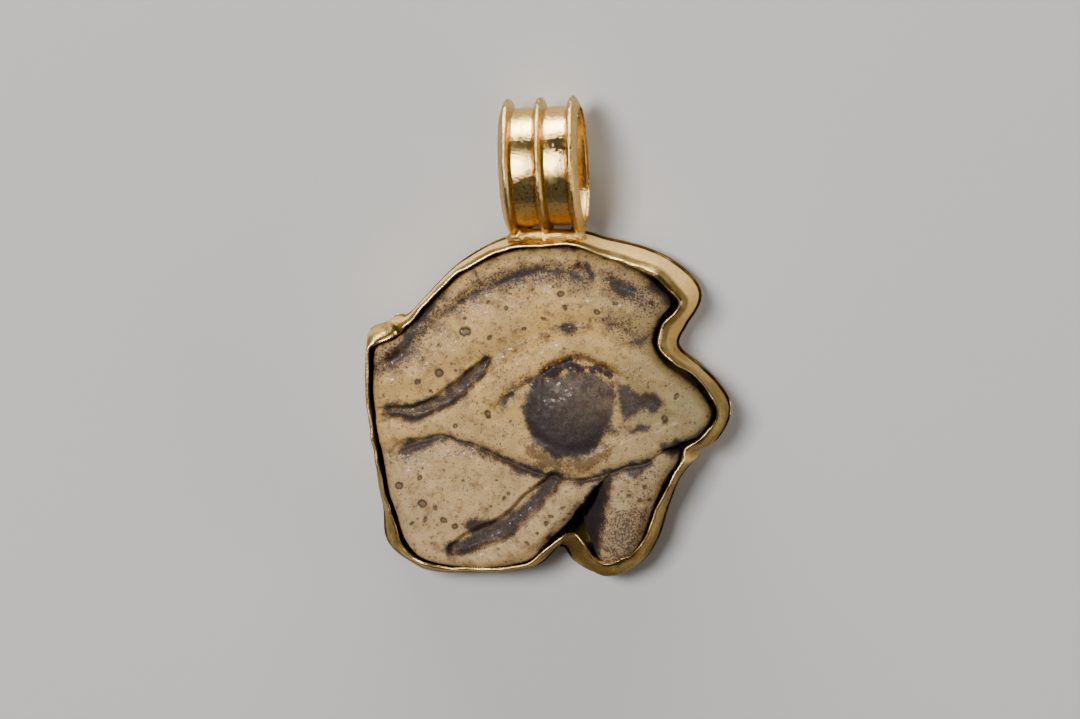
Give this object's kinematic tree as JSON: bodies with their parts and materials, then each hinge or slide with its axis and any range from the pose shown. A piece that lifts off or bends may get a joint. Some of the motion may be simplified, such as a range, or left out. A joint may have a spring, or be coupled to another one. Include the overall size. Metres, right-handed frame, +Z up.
{
  "type": "eye amulet pendant",
  "caption": "Pendant that holds a carved, glazed eye amulet in a closed gold setting, with a ribbed ring bail for a cord or chain to pass through.",
  "frame": {"origin": "centre of the footprint, on the table that the pendant lies on", "axes": "+X to the right across the face, +Y along the table from the amulet's foot to the bail, +Z up out of the face"},
  "size_m": [0.0258, 0.034, 0.0098],
  "materials": {
    "glaze": "pitted, worn cream glaze with dark purple-brown glaze in the carving",
    "gold": "hand-worked gold, soft polish with fine scratches"
  },
  "bodies": {
    "root": {"amulet": "glaze", "bezel_strip": "gold", "back_plate": "gold", "bail": "gold"}
  },
  "joints": []
}
